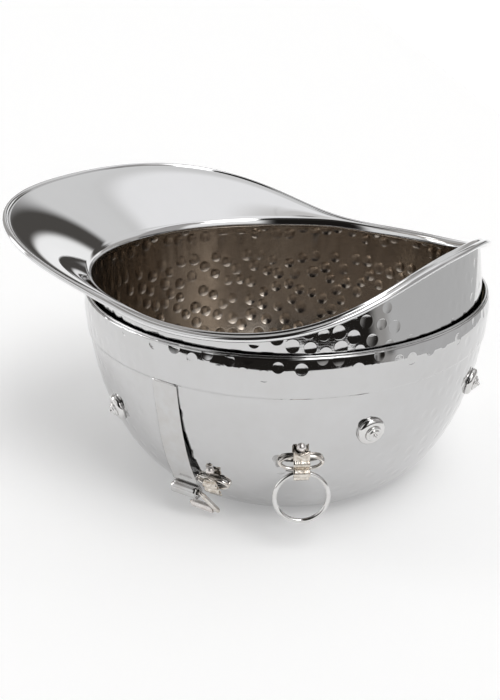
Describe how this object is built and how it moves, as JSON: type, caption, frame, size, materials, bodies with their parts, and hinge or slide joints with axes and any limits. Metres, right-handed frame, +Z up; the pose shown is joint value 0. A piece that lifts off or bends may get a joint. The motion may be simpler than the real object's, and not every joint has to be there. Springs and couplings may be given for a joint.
{
  "type": "helmet-shaped champagne bucket",
  "caption": "Double-walled hammered metal champagne bucket shaped as an upturned riding helmet, with a broad peak for a brim, cheek straps, buckle loops and swinging rings.",
  "frame": {"origin": "centre of the flat crown that the bucket stands on", "axes": "+Z up, +X towards the peak of the brim, +Y towards the side with the near strap"},
  "size_m": [0.4023, 0.3328, 0.2114],
  "materials": {
    "hammered_shell": "hammered and polished nickel plate",
    "hammered_bowl": "hammered nickel plate, slightly warmer inside",
    "polished_brim": "smooth mirror-polished nickel plate",
    "strap_metal": "polished nickel plate",
    "fittings": "polished nickel plate, darkened in the corners",
    "hidden_metal": "unplated brass, hidden between the walls"
  },
  "bodies": {
    "bucket": {"outer_shell": "hammered_shell", "inner_bowl": "hammered_bowl", "rim_spacer": "hidden_metal", "crown_spacer": "hidden_metal", "harness_band": "hammered_shell", "brim": "polished_brim", "brim_bead": "polished_brim", "strap_near": "strap_metal", "strap_far": "strap_metal", "keeper_staple_near": "fittings", "keeper_staple_far": "fittings", "keeper_hanger_near": "fittings", "keeper_hanger_far": "fittings", "ring_staple_near": "fittings", "ring_staple_far": "fittings", "ring_hanger_near": "fittings", "ring_hanger_far": "fittings", "hanger_rivets": "fittings", "stud_bases": "fittings", "stud_bosses": "fittings", "stud_shanks": "hidden_metal"},
    "ring_near": {"ring_near": "fittings"},
    "ring_far": {"ring_far": "fittings"},
    "loop_near": {"buckle_loop_near": "fittings"},
    "loop_far": {"buckle_loop_far": "fittings"},
    "roller_near": {"buckle_roller_near": "fittings"},
    "roller_far": {"buckle_roller_far": "fittings"}
  },
  "joints": [
    {"name": "ring_near_swing", "type": "hinge", "parent": "bucket", "child": "ring_near", "pos_m": [-0.09627, 0.12743, 0.061], "axis": [0.7795, 0.6264, 0], "range_deg": [-25, 150]},
    {"name": "ring_far_swing", "type": "hinge", "parent": "bucket", "child": "ring_far", "pos_m": [0.09136, -0.12789, 0.061], "axis": [-0.839, -0.5441, 0], "range_deg": [-25, 150]},
    {"name": "loop_near_swing", "type": "hinge", "parent": "bucket", "child": "loop_near", "pos_m": [0, 0.13903, 0.024], "axis": [1, 0, 0], "range_deg": [-20, 120]},
    {"name": "loop_far_swing", "type": "hinge", "parent": "bucket", "child": "loop_far", "pos_m": [0, -0.13903, 0.024], "axis": [-1, 0, 0], "range_deg": [-20, 120]},
    {"name": "roller_near_spin", "type": "hinge", "parent": "loop_near", "child": "roller_near", "pos_m": [-0.01, 0.13103, 0.009], "axis": [1, 0, 0], "continuous": true},
    {"name": "roller_far_spin", "type": "hinge", "parent": "loop_far", "child": "roller_far", "pos_m": [0.01, -0.13103, 0.009], "axis": [-1, 0, 0], "continuous": true}
  ]
}
